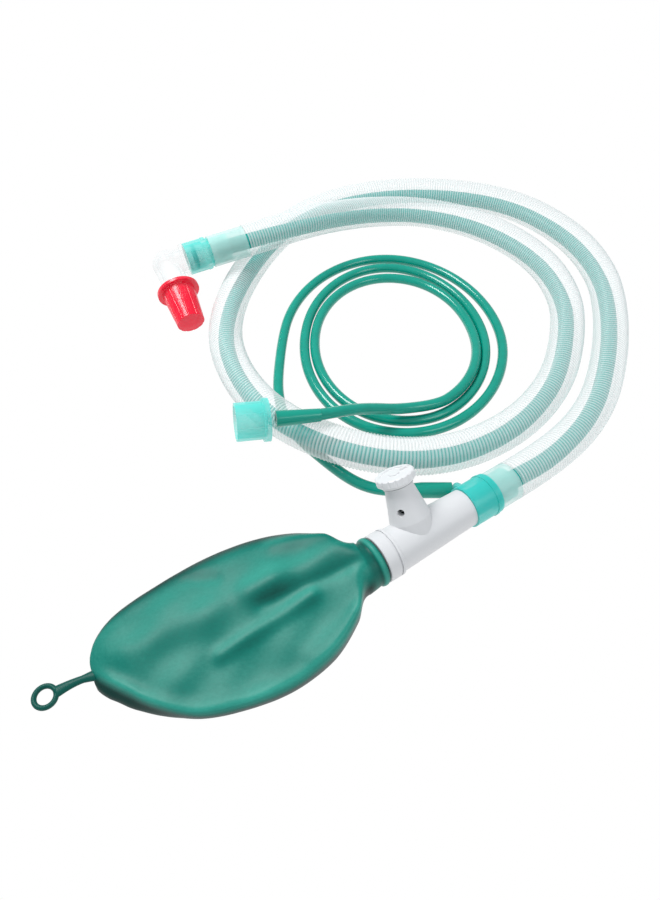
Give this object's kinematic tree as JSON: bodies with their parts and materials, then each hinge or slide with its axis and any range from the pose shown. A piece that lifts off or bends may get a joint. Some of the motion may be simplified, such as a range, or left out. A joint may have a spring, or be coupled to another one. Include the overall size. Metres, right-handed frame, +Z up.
{
  "type": "breathing circuit",
  "caption": "Coaxial breathing system: clear ribbed hose with an inner gas tube, reservoir bag, relief valve block, swivel elbow with red cap, and coiled green supply tube.",
  "frame": {"origin": "on the floor under the middle of the bag, valve block and hose adaptor", "axes": "+X from the bag towards the hose adaptor, +Y away from the bag towards the coiled hose, +Z up"},
  "size_m": [0.4118, 0.514, 0.0605],
  "materials": {
    "white_plastic": "moulded, satin",
    "turquoise_plastic": "translucent turquoise, glossy",
    "clear_plastic": "clear, glossy",
    "hose_clear": "clear thin corrugated wall",
    "inner_green": "translucent grey green",
    "supply_green": "glossy green tube",
    "bag_rubber": "matte teal rubber",
    "cap_red": "translucent red, glossy",
    "spring_steel": "drawn wire",
    "seal_rubber": "soft black"
  },
  "bodies": {
    "system": {"manifold_body": "white_plastic", "bag_mount_collar": "white_plastic", "bag_mount_stem": "white_plastic", "hose_adaptor": "turquoise_plastic", "fresh_gas_spigot": "turquoise_plastic", "inner_gas_elbow": "clear_plastic", "hose_sleeve_machine": "hose_clear", "valve_seat": "white_plastic", "valve_spring": "spring_steel", "knob_retaining_ring": "white_plastic", "reservoir_bag": "bag_rubber", "bag_neck": "bag_rubber", "bag_hanging_loop": "bag_rubber", "hose_sleeve_patient": "hose_clear", "swivel_body": "turquoise_plastic", "inner_tube_spider": "turquoise_plastic", "inlet_connector": "turquoise_plastic", "inlet_stem": "clear_plastic", "supply_bell_inlet": "supply_green", "supply_bell_spigot": "supply_green", "breathing_hose": "hose_clear", "inner_gas_tube": "inner_green", "supply_tube_lead": "supply_green", "supply_tube_tail": "supply_green", "supply_tube_coil": "supply_green"},
    "knob": {"relief_knob": "white_plastic", "knob_pointer": "supply_green"},
    "carrier": {"spring_carrier": "white_plastic"},
    "disc": {"valve_disc": "clear_plastic"},
    "elbow": {"swivel_elbow": "clear_plastic", "swivel_seal": "seal_rubber"},
    "cap": {"patient_port_cap": "cap_red"}
  },
  "joints": [
    {"name": "knob_turn", "type": "hinge", "parent": "system", "child": "knob", "pos_m": [0.07268, 0.02671, 0.0165], "axis": [-0.3501, 0.5391, 0.766], "range_deg": [0, 300]},
    {"name": "carrier_travel", "type": "slide", "parent": "system", "child": "carrier", "axis": [0.3501, -0.5391, -0.766], "range_m": [0, 0.003], "deforming": ["valve_spring"]},
    {"name": "disc_lift", "type": "slide", "parent": "system", "child": "disc", "axis": [-0.3501, 0.5391, 0.766], "range_m": [0, 0.0015], "stiffness_N_per_m": 60, "deforming": ["valve_spring"]},
    {"name": "elbow_swivel", "type": "hinge", "parent": "system", "child": "elbow", "pos_m": [-0.11524, 0.27209, 0.03706], "axis": [-0.9183, -0.3898, -0.0698], "continuous": true},
    {"name": "cap_pull", "type": "slide", "parent": "elbow", "child": "cap", "axis": [0.394, -0.8821, -0.2582], "range_m": [0, 0.045], "deforming": ["breathing_hose", "inner_gas_tube"]}
  ],
  "couplings": [
    {"joint": "carrier_travel", "follows": "knob_turn", "m_per_rad": 0.00057296}
  ]
}
